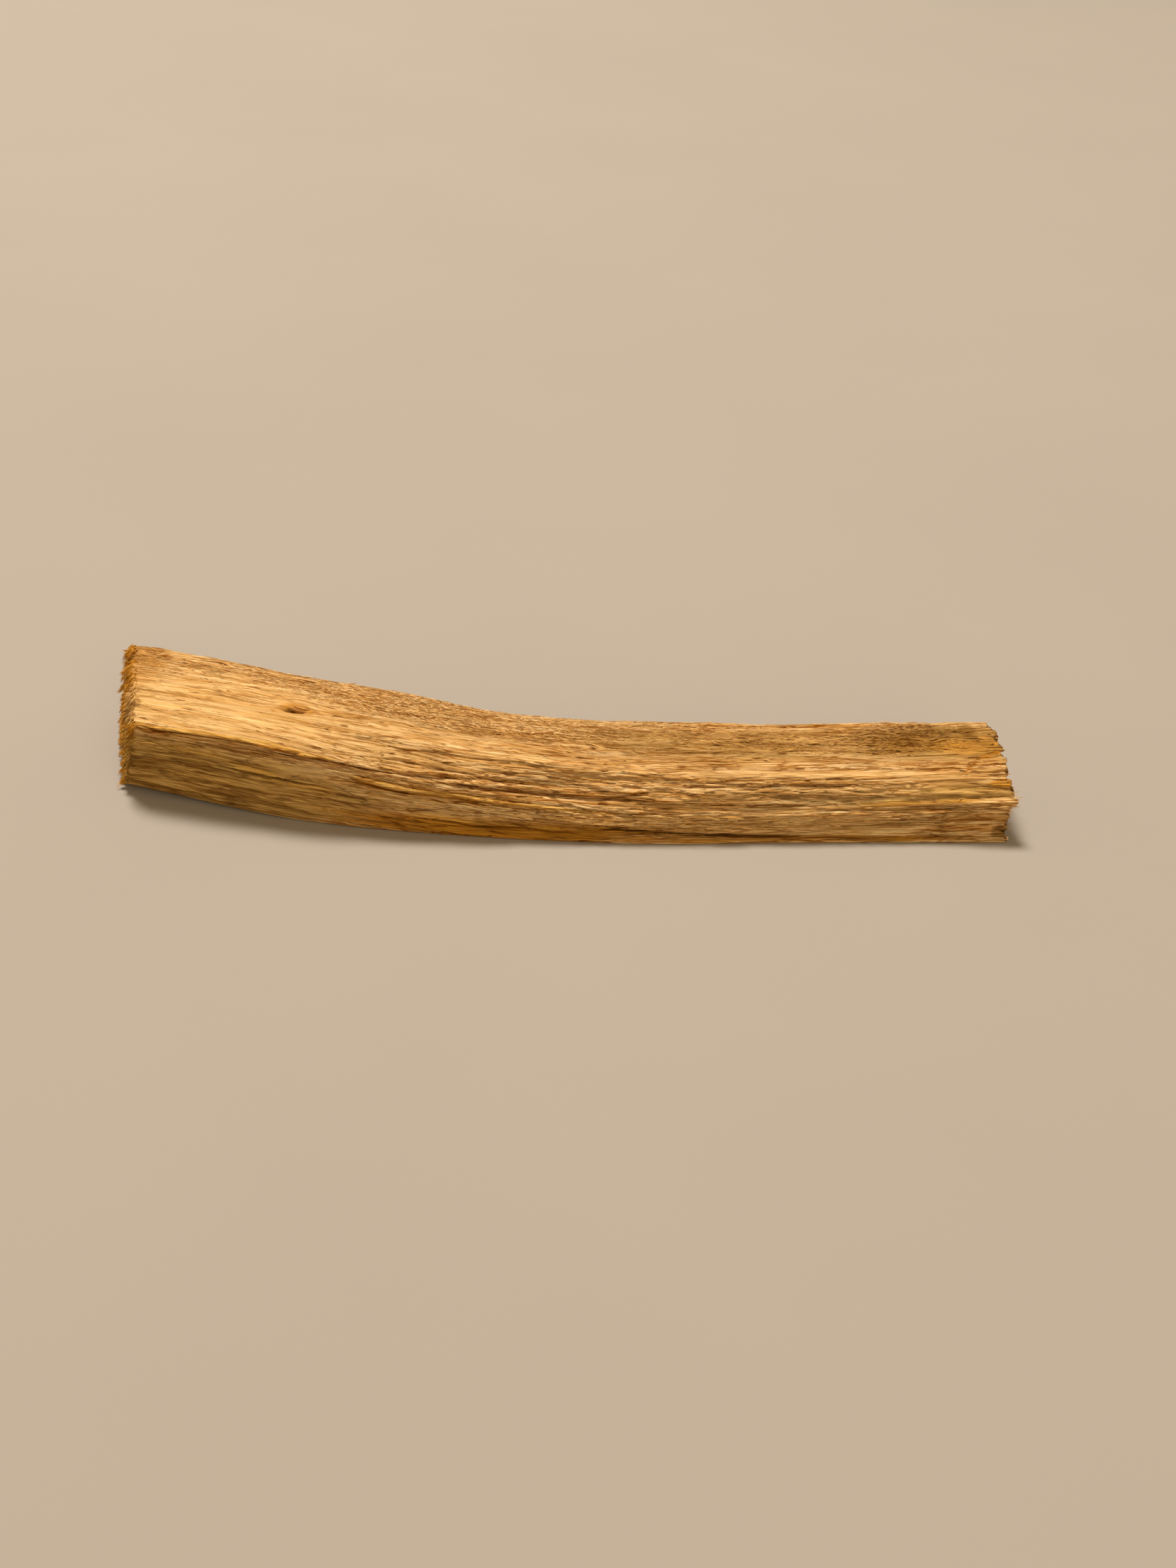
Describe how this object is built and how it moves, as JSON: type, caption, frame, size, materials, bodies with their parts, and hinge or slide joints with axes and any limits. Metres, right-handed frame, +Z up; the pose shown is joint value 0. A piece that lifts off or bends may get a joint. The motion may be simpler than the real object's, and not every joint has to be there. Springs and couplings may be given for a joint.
{
  "type": "palo santo stick",
  "caption": "Bent stick of split palo santo wood with long grain ridges, a torn ledge, a small knot, a fuzzy slanting cut at one end and a ragged break at the other.",
  "frame": {"origin": "middle of the stick's length and width, on the surface that it rests on", "axes": "+X along the stick towards the broken end, +Y across it towards its hollow side, +Z up from the flat underside"},
  "size_m": [0.1022, 0.0207, 0.0105],
  "materials": {
    "wood": "bare, dry and matt, split along the grain, with a pale ridge and darker sides"
  },
  "bodies": {
    "root": {"palo_santo_stick": "wood"}
  },
  "joints": []
}
